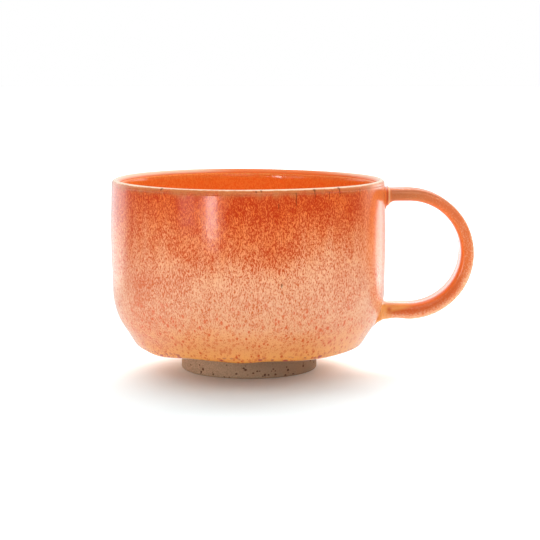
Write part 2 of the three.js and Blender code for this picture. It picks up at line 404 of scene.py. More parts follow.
# ring profile turned about the axis, and sunk by pits and scratches on its outer side
def makeFoot():
    inner, outer = footRadius - foot["wall"], footRadius
    edge, top, step = foot["edge"], foot["height"], foot["step"]
    profile = joined(
        linePart((inner, top), (inner, edge), 2 * step),
        arcPart((inner + edge, edge), edge, pi, 1.5 * pi, step),
        arcPart((outer - edge, edge), edge, -pi / 2, 0, step),
        linePart((outer, edge), (outer, top), step),
        linePart((outer, top), (inner, top), foot["topStep"])[1:-1],
    )
    points = revolved(profile, foot["turns"])
    x, y, z = points[..., 0], points[..., 1], points[..., 2]
    angle, radius = np.arctan2(y, x), np.hypot(x, y)
    onSide = radius > outer - edge
    # each pit is a soft dent: the exponential of minus the squared distance over its width
    raggedAcross, raggedUp = foot["raggedRates"]
    pit = np.zeros_like(z)
    for bearing, height, width, tall in footPits():
        aside = turnFrom(angle, bearing) * outer
        ragged = 1 + foot["pitRagged"] * np.sin(raggedAcross * aside + raggedUp * z + bearing)
        far = ((aside / width) ** 2 + ((z - height) / (width * tall)) ** 2) * ragged
        pit = np.maximum(pit, np.exp(-far))
    pit = pit * onSide
    slow, fast = foot["scratchRates"]
    sway = foot["scratchSway"] * np.sin(2 * angle)
    scratch = foot["scratch"] * (np.sin(slow * z + sway) + np.sin(fast * z + angle))
    sink = (foot["pitDepth"] * pit + scratch * onSide) * (z < top - foot["topMargin"])
    points[..., 0] += wobble["lean"] - sink * np.cos(angle)
    points[..., 1] -= sink * np.sin(angle)
    return ringPiece("footRing", points, ["foot_ring"], {"pit": pit})


# handle: a flattened superellipse carried out along the upper run, round the bend and back
handle = {
    "drop": 5.6,  # top of the lip to the middle of the upper run
    "rise": 11.8,  # clay base to the middle of the lower run
    "run": 9.1,  # cup wall to the start of the bend
    "width": 13.0,
    "upperThickness": 4.8,
    "lowerThickness": 6.2,
    "taper": 1.5,  # power of the way round with which one thickness becomes the other
    "squareness": 3.8,  # exponent of the superellipse
    "groove": 0.24,  # how much thinner the strap is along its middle, on the outer side
    "innerGroove": 0.06,
    "grooveWidth": 0.84,  # share of the strap's width
    "grooveFade": (2.0, 8.0),  # the groove ends between these distances from the wall
    "neck": 0.45,  # how much the underside draws in before the lower joint
    "neckAt": 5.6,
    "neckReach": 3.0,
    "columns": 96,
    "step": 0.32,
    "upperTop": 0.9,  # fillets at the two joints
    "upperUnder": 4.0,
    "upperSide": 1.0,
    "lowerTop": 3.2,
    "lowerUnder": 5.2,
    "lowerSide": 2.2,
    "collar": 0.38,  # ridge of slip round the upper joint
    "collarAt": 1.2,
    "collarReach": 0.5,
    "upperJoint": 2.2,  # how far the slip of each joint reaches along the strap
    "lowerJoint": 4.0,
    "sunk": 1.2,  # how far the ends go into the cup's coat
    "pressed": 0.92,  # how flat they are pressed beyond that
    "lowerSunk": 3.6,  # how far the middle line goes in at the lower end, before the pressing
}


# lean of the glazed wall at a height: the angle on the shoulder's arc, and the slope's below it
def wallLean(z):
    reach = cup["shoulder"] + cup["glaze"]
    return np.arcsin(np.clip((shoulderZ - z) / reach, 0, sin(cup["slope"])))


# radius of the glazed wall at a height: the arc, less the slope's run below it, plus swell and lean
def wallRadius(z):
    reach = cup["shoulder"] + cup["glaze"]
    below = np.maximum(0, shoulderZ - reach * sin(cup["slope"]) - z)
    plain = shoulderX + reach * np.cos(wallLean(z)) - below * tan(cup["slope"])
    return plain + bellySwell(z) + wobble["lean"] * (1 - climbShare(z))


# concave fillet: radius minus the height of a circle that touches the strap and the leaning wall
def filletRise(radius, lean, distance):
    turn = pi / 2 - lean
    along = np.clip(np.tan(turn / 2) - distance / radius, 0, np.sin(turn))
    return radius * (1 - np.sqrt(1 - along**2))


# middle line of the handle, two runs and a half circle: position, direction of the outer side,
# share of the way round and distance from the wall
def handleLine():
    upperZ, lowerZ = cup["height"] - handle["drop"], cup["base"] + handle["rise"]
    bendRadius, bendX = (upperZ - lowerZ) / 2, cup["radius"] + handle["run"]
    upperStart = wallRadius(upperZ) - handle["sunk"]
    lowerEnd = wallRadius(lowerZ) - handle["lowerSunk"]
    runIn = np.arange(upperStart, bendX, handle["step"])
    runOut = np.arange(lowerEnd, bendX, handle["step"])[::-1]
    share = np.linspace(0, 1, int(pi * bendRadius / handle["step"]))
    turn = pi * (0.5 - share)
    x = np.concatenate([runIn, bendX + bendRadius * np.cos(turn), runOut])
    z = (upperZ + lowerZ) / 2 + bendRadius * np.sin(turn)
    z = np.concatenate([np.full_like(runIn, upperZ), z, np.full_like(runOut, lowerZ)])
    turn = np.concatenate([np.full_like(runIn, pi / 2), turn, np.full_like(runOut, -pi / 2)])
    share = np.concatenate([np.zeros_like(runIn), share, np.ones_like(runOut)])
    return x, z, turn, share, x - wallRadius(z)


# half sizes of the section along the line: half thickness plus the fillets of the nearer joint
def handleHalves(x, z, share, away):
    upper, lower = handle["upperThickness"], handle["lowerThickness"]
    half = (upper + (lower - upper) * share ** handle["taper"]) / 2
    far = 1e3 * handle["width"]  # out of reach of every fillet
    upperAway = np.where(share == 0, away, far)
    lowerAway = np.where(share == 1, away, far)
    under = z - half
    underAway = np.where(share == 1, x - wallRadius(under), far)
    collar = handle["collar"] * hump(upperAway - handle["collarAt"], handle["collarReach"])
    neck = handle["neck"] * hump(lowerAway - handle["neckAt"], handle["neckReach"])
    outer = half + filletRise(handle["upperTop"], 0, upperAway) + collar
    outer = outer + filletRise(handle["lowerUnder"], wallLean(under), underAway) - neck
    inner = half + filletRise(handle["upperUnder"], 0, upperAway) + collar
    inner = inner + filletRise(handle["lowerTop"], 0, lowerAway)
    side = handle["width"] / 2 + filletRise(handle["upperSide"], 0, upperAway) + collar
    side = side + filletRise(handle["lowerSide"], 0, lowerAway)
    return outer, inner, side


# superellipse: sign times the power 2/n of the cosine and of the sine; the dip is its groove
def sectionShape():
    angle = np.linspace(0, 2 * pi, handle["columns"], endpoint=False) + pi / handle["columns"]
    power = 2 / handle["squareness"]
    across = np.sign(np.cos(angle)) * np.abs(np.cos(angle)) ** power
    out = np.sign(np.sin(angle)) * np.abs(np.sin(angle)) ** power
    dip = np.clip(1 - (across / handle["grooveWidth"]) ** 2, 0, 1) ** 2
    return across, out, dip


# skin of the handle at an inset: the section set across the line; what would go through the
# cup's wall is pressed flat below its surface
def handleSkin(inset):
    x, z, turn, share, away = handleLine()
    outer, inner, side = handleHalves(x, z, share, away)
    across, out, dip = sectionShape()
    first, last = handle["grooveFade"]
    fade = np.clip((away - first) / (last - first), 0, 1)
    groove = np.where(out > 0, handle["groove"], handle["innerGroove"])
    shaped = out * (1 - groove * fade[:, None] * dip)
    reach = np.where(out > 0, (outer - inset)[:, None], (inner - inset)[:, None]) * shaped
    px = x[:, None] + np.cos(turn)[:, None] * reach
    pz = z[:, None] + np.sin(turn)[:, None] * reach
    beyond = np.maximum(0, wallRadius(pz) - px - handle["sunk"])
    return np.stack([px + beyond * handle["pressed"], (side - inset)[:, None] * across, pz], -1)


# clay under the coat: joint, strap and joint are stretches of one skin, closed by their ends' middles
def makeHandleClay():
    away = handleLine()[-1]
    upperLast = int(np.argmax(away > handle["upperJoint"]))
    lowerFirst = len(away) - 1 - int(np.argmax(away[::-1] > handle["lowerJoint"]))
    skin = handleSkin(cup["glaze"])
    pieces = []
    for name, slot, node, rows in (
        ("upperJoint", "slip", "upper_handle_joint", skin[: upperLast + 1]),
        ("handleStrap", "clay", "handle_strap", skin[upperLast : lowerFirst + 1]),
        ("lowerJoint", "slip", "lower_handle_joint", skin[lowerFirst:]),
    ):
        ends = rows[[0, -1]].mean(axis=1, keepdims=True) + np.zeros_like(rows[[0, -1]])
        points = np.concatenate([ends[:1], rows, ends[1:]])
        pieces.append(bowlPiece(name, points, [node]))
    return pieces


# coat of the handle: its outer skin along the strap, then its inner skin back
def makeHandleCoat():
    share, away = handleLine()[-2:]
    across, out = sectionShape()[:2]
    points = np.concatenate([handleSkin(0), handleSkin(cup["glaze"])[::-1]])

    # a value for each row plus one for each column, on both skins
    def spread(rows, columns):
        grid = rows[:, None] + columns[None, :]
        return np.concatenate([grid, grid[::-1]])

    evenRows, evenColumns = np.zeros_like(share), np.zeros_like(across)
    attributes = {
        "along": spread(share, evenColumns),
        "outward": spread(evenRows, out),
        "sideways": spread(evenRows, np.abs(across)),
        "wallAway": spread(away, evenColumns),
    }
    return ringPiece("handleCoat", points, ["handle_glaze"], attributes)


outerCoat = makeOuterCoat()
lipCoat = makeLipCoat()
linerCoat = makeLinerCoat()
clayCup = makeClayCup()
footRing = makeFoot()
handleCoat = makeHandleCoat()
upperJoint, handleStrap, lowerJoint = makeHandleClay()


# colour written as red, green and blue of a screen, 0 to 255, turned to light values
def screen(red, green, blue):
    value = np.array([red, green, blue]) / 255
    light = np.where(value <= 0.04045, value / 12.92, ((value + 0.055) / 1.055) ** 2.4)
    return (*light.tolist(), 1.0)


# grey as a light value
def grey(value):
    return (value, value, value, 1.0)


# adds a node, with its settings and with values or links for its inputs
def addNode(tree, kind, inputs=None, **settings):
    made = tree.nodes.new(kind)
    for label, value in settings.items():
        setattr(made, label, value)
    for label, value in (inputs or {}).items():
        if isinstance(value, bpy.types.NodeSocket):
            tree.links.new(value, made.inputs[label])
        else:
            made.inputs[label].default_value = value
    return made


# result of one step of arithmetic
def calc(tree, operation, *values):
    return addNode(tree, "ShaderNodeMath", dict(enumerate(values)), operation=operation).outputs[0]


# product of values and links
def product(tree, first, *others):
    for other in others:
        first = calc(tree, "MULTIPLY", first, other)
    return first


# result of one step on vectors
def vectorCalc(tree, operation, *values):
    made = addNode(tree, "ShaderNodeVectorMath", dict(enumerate(values)), operation=operation)
    return made.outputs["Value" if operation in ("LENGTH", "DOT_PRODUCT") else "Vector"]


# smooth step of a value from one limit to another
def stepped(tree, value, low, high, toLow=0.0, toHigh=1.0):
    inputs = {"Value": value, "From Min": low, "From Max": high, "To Min": toLow, "To Max": toHigh}
    return addNode(tree, "ShaderNodeMapRange", inputs, interpolation_type="SMOOTHSTEP").outputs[0]


# hill of a value round a middle: one there, falling smoothly to zero at the reach
def hill(tree, value, middle, reach):
    away = calc(tree, "ABSOLUTE", calc(tree, "SUBTRACT", value, middle))
    return stepped(tree, away, reach, 0.0)


# mix of two colours by a share
def mixed(tree, share, first, second, blend="MIX"):
    inputs = {0: share, 6: first, 7: second}
    return addNode(tree, "ShaderNodeMix", inputs, data_type="RGBA", blend_type=blend).outputs[2]


# cloudy pattern from 0 to 1 at a place
def noise(tree, vector, scale, detail=2.0, roughness=0.5):
    inputs = {"Vector": vector, "Scale": scale, "Detail": detail, "Roughness": roughness}
    return addNode(tree, "ShaderNodeTexNoise", inputs).outputs["Fac"]


# how far to the side a place is, and how high
def sideAndHeight(tree, place):
    split = addNode(tree, "ShaderNodeSeparateXYZ", {0: place}).outputs
    return split[0], split[2]


# colour ramp from a list of places and colours
def ramped(tree, value, stops):
    made = addNode(tree, "ShaderNodeValToRGB", {"Fac": value})
    elements = made.color_ramp.elements
    while len(elements) < len(stops):
        elements.new(0.5)
    for element, (place, color) in zip(elements, sorted(stops)):
        element.position = place
        element.color = color
    return made.outputs["Color"]


# node group with named inputs and outputs
def newGroup(name, inputs, outputs):
    group = bpy.data.node_groups.new(name, "ShaderNodeTree")
    for label, kind in inputs.items():
        group.interface.new_socket(name=label, in_out="INPUT", socket_type="NodeSocket" + kind)
    for label, kind in outputs.items():
        group.interface.new_socket(name=label, in_out="OUTPUT", socket_type="NodeSocket" + kind)
    source = group.nodes.new("NodeGroupInput")
    target = group.nodes.new("NodeGroupOutput")
    return group, source.outputs, target.inputs


# places a group in a material, with values or links for its inputs
def placeGroup(tree, group, inputs):
    return addNode(tree, "ShaderNodeGroup", inputs, node_tree=group).outputs


# flecks: two stretched noises and a cloudy one, cut at a level that the wanted share of red sets
fleckLook = {
    "fineScale": 2.1,  # fineness of the second noise over that of the first
    "fineShare": 0.34,
    "cloudScale": 0.11,
    "cloudShare": 0.16,
    "noRed": 0.71,  # level of the cut where no red is wanted
    "perRed": -0.26,  # how far it moves for all red
    "softness": 0.065,
}


def fleckGroup():
    group, source, target = newGroup(
        "glazeFlecks",
        {"Place": "Vector", "Red Share": "Float", "Stretch": "Float", "Fineness": "Float"},
        {"Mask": "Float", "Grain": "Float"},
    )
    squeeze = addNode(group, "ShaderNodeCombineXYZ", {0: 1.0, 1: 1.0, 2: source["Stretch"]})
    place = vectorCalc(group, "MULTIPLY", source["Place"], squeeze.outputs[0])
    fineness = calc(group, "MULTIPLY", source["Fineness"], fleckLook["fineScale"])
    coarse = noise(group, place, source["Fineness"], 2.0, 0.65)
    fine = noise(group, place, fineness, 1.0, 0.5)
    cloud = noise(group, source["Place"], fleckLook["cloudScale"], 3.0, 0.6)
    field = calc(group, "MULTIPLY", coarse, 1 - fleckLook["fineShare"])
    field = calc(group, "MULTIPLY_ADD", fine, fleckLook["fineShare"], field)
    field = calc(group, "MULTIPLY_ADD", cloud, fleckLook["cloudShare"], field)
    level = calc(group, "MULTIPLY_ADD", source["Red Share"], fleckLook["perRed"], fleckLook["noRed"])
    low = calc(group, "SUBTRACT", level, fleckLook["softness"])
    high = calc(group, "ADD", level, fleckLook["softness"])
    group.links.new(stepped(group, field, low, high), target["Mask"])
    group.links.new(fine, target["Grain"])
    return group


# specks: round cells of a Voronoi pattern, of which chance keeps a few
speckLook = {
    "least": 0.4,  # share of the wanted size
    "spread": 0.8,
    "ragged": 0.12,
    "raggedScale": 2.6,
    "core": 0.55,  # share of a speck that has its full strength
}


def speckGroup():
    group, source, target = newGroup(
        "ironSpecks",
        {"Place": "Vector", "Scale": "Float", "Size": "Float", "Chance": "Float"},
        {"Mask": "Float"},
    )
    inputs = {"Vector": source["Place"], "Scale": source["Scale"], "Randomness": 1.0}
    cells = addNode(group, "ShaderNodeTexVoronoi", inputs)
    dice = addNode(group, "ShaderNodeSeparateColor", {0: cells.outputs["Color"]})
    keep = calc(group, "LESS_THAN", dice.outputs[0], source["Chance"])
    share = calc(group, "MULTIPLY_ADD", dice.outputs[1], speckLook["spread"], speckLook["least"])
    size = calc(group, "MULTIPLY", source["Size"], share)
    ragged = noise(group, source["Place"], speckLook["raggedScale"], 2.0, 0.6)
    reach = calc(group, "MULTIPLY_ADD", ragged, speckLook["ragged"], cells.outputs["Distance"])
    inside = stepped(group, reach, size, calc(group, "MULTIPLY", size, speckLook["core"]))
    group.links.new(calc(group, "MULTIPLY", inside, keep), target["Mask"])
    return group


# run of iron: a narrow hill across an upright line, between its ends, on one side of the cup only
runLook = {
    "sway": 0.5,
    "swayScale": 1.2,
    "strength": 0.85,
    "tint": (104, 48, 18),
}


def runGroup():
    vectors = {label: "Vector" for label in ("Place", "Across", "Out")}
    values = {label: "Float" for label in ("Top", "Length", "Width")}
    group, source, target = newGroup("ironRun", {**vectors, **values}, {"Mask": "Float"})
    z = sideAndHeight(group, source["Place"])[1]
    along = calc(group, "DIVIDE", calc(group, "SUBTRACT", source["Top"], z), source["Length"])
    wave = noise(group, source["Place"], runLook["swayScale"])
    sway = calc(group, "MULTIPLY_ADD", wave, runLook["sway"], -runLook["sway"] / 2)
    across = vectorCalc(group, "DOT_PRODUCT", source["Place"], source["Across"])
    width = product(group, source["Width"], stepped(group, along, 1.2, 0.2))
    line = stepped(group, calc(group, "ABSOLUTE", calc(group, "ADD", across, sway)), width, 0.0)
    ends = product(group, stepped(group, along, -0.1, 0.05), stepped(group, along, 1.1, 0.7))
    out = vectorCalc(group, "DOT_PRODUCT", source["Place"], source["Out"])
    facing = calc(group, "GREATER_THAN", out, 0.0)
    group.links.new(product(group, line, ends, facing, runLook["strength"]), target["Mask"])
    return group


# marks of iron, runs on the wall and dots at the lip: angle from +X in degrees, top, length, width
ironRuns = [
    (281.9, 65.2, 2.2, 0.3),
    (283.1, 37.8, 1.8, 0.42),
    (289.1, 68.8, 5.4, 0.36),
    (297.1, 69.0, 2.8, 0.34),
    (303.9, 68.6, 3.2, 0.24),
    (309.2, 69.2, 3.0, 0.36),
    (321.3, 69.0, 3.4, 0.26),
    (40.0, 68.8, 2.4, 0.34),
]
ironDots = [
    (232.8, 69.9, 1.0, 0.8),
    (273.1, 69.7, 0.8, 0.6),
    (275.1, 69.9, 0.8, 0.6),
    (297.1, 69.9, 1.1, 0.9),
    (309.2, 70.0, 1.1, 0.9),
    (118.0, 69.9, 1.0, 0.8),
]

flecks = fleckGroup()
specks = speckGroup()
runs = runGroup()


# empty material, with its nodes and its shader
def newMaterial(name):
    material = bpy.data.materials.new(name)
    material.use_nodes = True
    tree = material.node_tree
    return material, tree, tree.nodes["Principled BSDF"]


# place on the object in millimetres, from the cup's axis
def cupPlace(tree):
    coordinates = addNode(tree, "ShaderNodeTexCoord").outputs["Object"]
    shifted = vectorCalc(tree, "SUBTRACT", coordinates, (axisX * mm, 0, 0))
    return vectorCalc(tree, "MULTIPLY", shifted, (1 / mm, 1 / mm, 1 / mm))


# value that a piece's mesh carries
def attribute(tree, name):
    return addNode(tree, "ShaderNodeAttribute", attribute_name=name).outputs["Fac"]


# surface of every glaze
glazeLook = {
    "ior": 1.5,
    "smooth": 0.04,  # least and most roughness
    "hazy": 0.1,
    "hazeScale": 0.5,
    "dull": 0.03,  # how much rougher the flecks are
    "bump": 0.17,
    "bumpDepth": 0.1,
    "rippleScale": 1.1,
    "fleckRise": 0.4,  # how high the flecks stand beside the ripple
    "fineness": 2.7,
    "stretch": 0.41,
}

# by height in millimetres: share of red, pale colour between the flecks, deep colour of the flecks
bodyGlaze = [
    (9, 0.05, (255, 174, 84), (222, 114, 58)),
    (11, 0.09, (253, 180, 106), (220, 109, 60)),
    (14, 0.15, (247, 173, 109), (215, 102, 54)),
    (18, 0.25, (246, 178, 122), (215, 106, 54)),
    (22, 0.34, (242, 183, 140), (214, 109, 60)),
    (30, 0.43, (242, 187, 149), (215, 112, 65)),
    (37, 0.45, (243, 186, 146), (208, 97, 49)),
    (43, 0.47, (243, 182, 138), (204, 87, 41)),
    (50, 0.51, (239, 160, 108), (197, 71, 27)),
    (57, 0.55, (236, 138, 79), (190, 60, 18)),
    (65, 0.59, (228, 114, 51), (186, 52, 11)),
    (70, 0.62, (220, 108, 52), (188, 58, 16)),
]


# what moves and tints the body's colours: places in millimetres, colours as on a screen
bodyLook = {
    "cloudScale": 0.035,
    "cloudLift": 18.0,  # how far clouds and streaks move the colours up and down
    "streakScale": 0.3,
    "streakSquash": 0.12,
    "streakLift": 14.0,
    "liftStart": (14.0, 30.0),  # heights between which the colours start to move
    "leftSide": (-14.0, -38.0),
    "leftTop": (44.0, 60.0),
    "leftLift": -2.5,
    "middle": (34.0, 14.0),
    "middleTop": (38.0, 50.0),
    "middleLift": 3.0,
    "leftEdge": (-46.0, -40.0),
    "leftLow": (50.0, 36.0),
    "leftRed": 0.2,  # more red low on the left
    "grain": (0.95, 1.05),
    "paintedLightSide": (36.0, 49.0),  # painted light beside the handle: brighter orange that stands in for the handle's reflection and the light it sends back
    "paintedLightTop": (34.0, 46.0),
    "paintedLightShare": 0.6,
    # colour of that painted light beside the handle
    "handleTint": (246, 138, 70),
    "thinTop": (69.2, 72.6),  # thin glaze under the lip, which shows the clay
    "thinWave": 5.0,
    "thinShare": 0.8,
    "thinTint": (194, 118, 64),
}
# specks of each finish: squash upright, scale, size, chance, strength, colour
bodyIron = (1.0, 0.16, 0.09, 0.35, 0.85, (92, 48, 26))
linerIron = (1.0, 0.14, 0.1, 0.4, 0.8, (120, 58, 26))
clayIron = (1.0, 0.8, 0.14, 0.25, 0.7, (100, 70, 48))
# spots on the body: heights between which they start, then the same as for specks
bodySpots = [
    ((30.0, 18.0), 0.6, 0.9, 0.7, 0.55, 0.65, (226, 118, 70)),  # soft mottles
    ((42.0, 20.0), 0.6, 0.7, 0.46, 0.75, 0.85, (222, 92, 46)),  # red dots
    ((11.4, 10.2), 1.7, 0.5, 0.62, 0.85, 0.8, (186, 74, 80)),  # purple-red, where the coat ran thick
]


# lays a row's specks over a colour, where a mask lets them
def speckled(tree, place, color, row, where=1.0):
    squash, scale, size, chance, strength, tint = row
    squashed = vectorCalc(tree, "MULTIPLY", place, (1, 1, squash))
    inputs = {"Place": squashed, "Scale": scale, "Size": size, "Chance": chance}
    share = product(tree, placeGroup(tree, specks, inputs)["Mask"], where, strength)
    return mixed(tree, share, color, screen(*tint))


# darkens a colour where each mark of a list lies
def ironMarks(tree, place, color, marks):
    for bearing, top, length, width in marks:
        angle = radians(bearing)
        mark = placeGroup(tree, runs, {
            "Place": place,
            "Across": (-sin(angle), cos(angle), 0),
            "Out": (cos(angle), sin(angle), 0),
            "Top": top,
            "Length": length,
            "Width": width,
        })["Mask"]
        color = mixed(tree, mark, color, screen(*runLook["tint"]))
    return color


# level that picks the glaze's colours: the height, moved by clouds, streaks, the left and the middle
def glazeLevel(tree, place, streaks):
    look = bodyLook
    x, z = sideAndHeight(tree, place)
    cloud = noise(tree, place, look["cloudScale"])
    left = stepped(tree, x, *look["leftSide"])
    middle = stepped(tree, calc(tree, "ABSOLUTE", x), *look["middle"])
    leftLift = product(tree, left, stepped(tree, z, *look["leftTop"]), look["leftLift"])
    lift = calc(tree, "MULTIPLY_ADD", calc(tree, "SUBTRACT", cloud, 0.5), look["cloudLift"], leftLift)
    lift = calc(tree, "MULTIPLY_ADD", calc(tree, "SUBTRACT", streaks, 0.5), look["streakLift"], lift)
    upperMiddle = product(tree, middle, stepped(tree, z, *look["middleTop"]))
    lift = calc(tree, "MULTIPLY_ADD", upperMiddle, look["middleLift"], lift)
    lift = calc(tree, "MULTIPLY", lift, stepped(tree, z, *look["liftStart"]))
    return calc(tree, "DIVIDE", calc(tree, "ADD", z, lift), cup["height"])


# glaze colour on the outside by that level, with flecks, spots, iron, the thin band at the lip and painted
# light beside the handle
def outsideColor(tree, place):
    look, top = bodyLook, cup["height"]
    x, z = sideAndHeight(tree, place)
    tall = vectorCalc(tree, "MULTIPLY", place, (1, 1, look["streakSquash"]))
    streaks = noise(tree, tall, look["streakScale"], 2.0, 0.6)
    level = glazeLevel(tree, place, streaks)
    redShare = ramped(tree, level, [(row[0] / top, grey(row[1])) for row in bodyGlaze])
    pale = ramped(tree, level, [(row[0] / top, screen(*row[2])) for row in bodyGlaze])
    deep = ramped(tree, level, [(row[0] / top, screen(*row[3])) for row in bodyGlaze])
    left = product(tree, stepped(tree, x, *look["leftSide"]), stepped(tree, x, *look["leftEdge"]))
    redder = product(tree, left, stepped(tree, z, *look["leftLow"]), look["leftRed"])
    pattern = placeGroup(tree, flecks, {
        "Place": place,
        "Red Share": calc(tree, "ADD", redder, redShare),
        "Stretch": glazeLook["stretch"],
        "Fineness": glazeLook["fineness"],
    })
    color = mixed(tree, pattern["Mask"], pale, deep)
    grain = stepped(tree, pattern["Grain"], 0.3, 0.7, *look["grain"])
    color = mixed(tree, 1.0, color, grain, "MULTIPLY")
    # painted light: brighter orange beside the handle, for its reflection and the light it sends back
    beside = product(tree, stepped(tree, x, *look["paintedLightSide"]), stepped(tree, z, *look["paintedLightTop"]))
    beside = calc(tree, "MULTIPLY", beside, look["paintedLightShare"])
    color = mixed(tree, beside, color, screen(*look["handleTint"]))
    for heights, *row in bodySpots:
        color = speckled(tree, place, color, row, stepped(tree, z, *heights))
    thinHeight = calc(tree, "MULTIPLY_ADD", streaks, look["thinWave"], z)
    thin = product(tree, stepped(tree, thinHeight, *look["thinTop"]), look["thinShare"])
    color = mixed(tree, thin, color, screen(*look["thinTint"]))
    color = speckled(tree, place, color, bodyIron)
    return ironMarks(tree, place, color, ironRuns), pattern["Mask"]


# sets a glaze's colour, its roughness by a soft haze and the flecks, and a slight ripple
def glazeSurface(tree, shader, place, color, mask):
    tree.links.new(color, shader.inputs["Base Color"])
    shader.inputs["IOR"].default_value = glazeLook["ior"]
    haze = noise(tree, place, glazeLook["hazeScale"])
    rough = stepped(tree, haze, 0.3, 0.7, glazeLook["smooth"], glazeLook["hazy"])
    rough = calc(tree, "MULTIPLY_ADD", mask, glazeLook["dull"], rough)
    tree.links.new(rough, shader.inputs["Roughness"])
    ripple = noise(tree, place, glazeLook["rippleScale"])
    height = calc(tree, "MULTIPLY_ADD", mask, glazeLook["fleckRise"], ripple)
    inputs = {"Strength": glazeLook["bump"], "Distance": glazeLook["bumpDepth"] * mm, "Height": height}
    tree.links.new(addNode(tree, "ShaderNodeBump", inputs).outputs[0], shader.inputs["Normal"])


# flecked orange glaze of the body
def outsideMaterial():
    material, tree, shader = newMaterial("breakingOrangeGlaze")
    place = cupPlace(tree)
    color, mask = outsideColor(tree, place)
    glazeSurface(tree, shader, place, color, mask)
    return material


# lip: heights and reaches in millimetres
lipLook = {
    "crest": (0.25, 0.6),  # heights above the clay's lip between which the cream starts
    "crestRagged": 0.5,
    "crestShare": 0.95,
    "cream": (240, 212, 176),
    "innerFace": (0.15, -0.25),  # from the middle of the lip inwards
    "reflectionRise": (0.1, 0.3),  # painted reflection on the inner side: starts above the middle of the lip's arc, ends above the clay
    "innerLow": (246, 122, 36),
    # pale painted reflection of the white surroundings on the inner side near the top
    "paintedReflection": (248, 210, 180),
    "orangeMiddle": 10.0,  # where the inner side stays orange without the painted reflection, and how that ends to both sides
    "orangeEnd": (12.0, 34.0),
    # share of the painted reflection kept in the middle
    "orangePale": 0.15,
}


# the outside's colour, breaking to cream on the crest and to orange on the inner side, with a painted
# reflection that turns the inner side pale towards the top, away from the middle
def lipMaterial():
    material, tree, shader = newMaterial("creamLipGlaze")
    place = cupPlace(tree)
    x, z = sideAndHeight(tree, place)
    color, mask = outsideColor(tree, place)
    top = lipZ + lipRound
    ragged = calc(tree, "MULTIPLY_ADD", noise(tree, place, 0.5, 3.0, 0.6), lipLook["crestRagged"], z)
    crest = stepped(tree, ragged, *[top + height for height in lipLook["crest"]])
    crest = calc(tree, "MULTIPLY", crest, lipLook["crestShare"])
    color = mixed(tree, crest, color, screen(*lipLook["cream"]))
    color = ironMarks(tree, place, color, ironDots)
    # painted reflection: pale towards the top of the inner side, but for the middle
    aside = calc(tree, "ABSOLUTE", calc(tree, "SUBTRACT", x, lipLook["orangeMiddle"]))
    beside = stepped(tree, aside, *lipLook["orangeEnd"], lipLook["orangePale"], 1.0)
    low, high = lipLook["reflectionRise"]
    rise = product(tree, stepped(tree, z, lipZ + low, top + high), beside)
    innerGlazeAndReflection = mixed(tree, rise, screen(*lipLook["innerLow"]), screen(*lipLook["paintedReflection"]))
    across = vectorCalc(tree, "LENGTH", vectorCalc(tree, "MULTIPLY", place, (1, 1, 0)))
    middle = clayRadius - lipRound + bellySwell(lipZ)
    inward = stepped(tree, across, *[middle + reach for reach in lipLook["innerFace"]])
    color = mixed(tree, inward, color, innerGlazeAndReflection)
    glazeSurface(tree, shader, place, color, mask)
    return material


# glaze inside the cup
linerLook = {
    "redShare": 0.5,
    "stretch": 0.6,
    "fineness": 1.6,
    "pale": (251, 152, 66),
    "deep": (245, 130, 50),
}


# smoother glaze inside, with soft flecks and a few specks
def insideMaterial():
    material, tree, shader = newMaterial("smoothOrangeLiner")
    place = cupPlace(tree)
    pattern = placeGroup(tree, flecks, {
        "Place": place,
        "Red Share": linerLook["redShare"],
        "Stretch": linerLook["stretch"],
        "Fineness": linerLook["fineness"],
    })
    color = mixed(tree, pattern["Mask"], screen(*linerLook["pale"]), screen(*linerLook["deep"]))
    color = speckled(tree, place, color, linerIron)
    glazeSurface(tree, shader, place, color, pattern["Mask"])
    return material


# glaze of the handle
handleLook = {
    "redShare": 0.82,
    "outerRed": -0.45,  # how much less red the outer side of the lower half has
    "stretch": 0.8,
    "pale": (250, 196, 152),
    "deep": (230, 118, 60),
    "edgeFace": (0.75, 0.97),  # share of the way across the strap to its narrow faces
    "edgeMiddle": (214, 112, 70),
    "innerEdge": (244, 122, 46),
    "lowerMiddle": (202, 90, 40),
    "thin": (194, 117, 70),
    "topLine": (168, 84, 46),
    "wallFade": (0.8, 2.6),  # millimetres from the wall over which the body's colour ends
    "yellowRun": (243, 164, 82),
    "runSlant": 0.07,
    "knot": (196, 66, 40),
    "crevice": (190, 62, 26),
    "ridge": (238, 190, 140),
}


# lays one of the handle's colours over another by a product of masks
def handleTint(tree, color, name, *masks):
    return mixed(tree, product(tree, *masks), color, screen(*handleLook[name]))


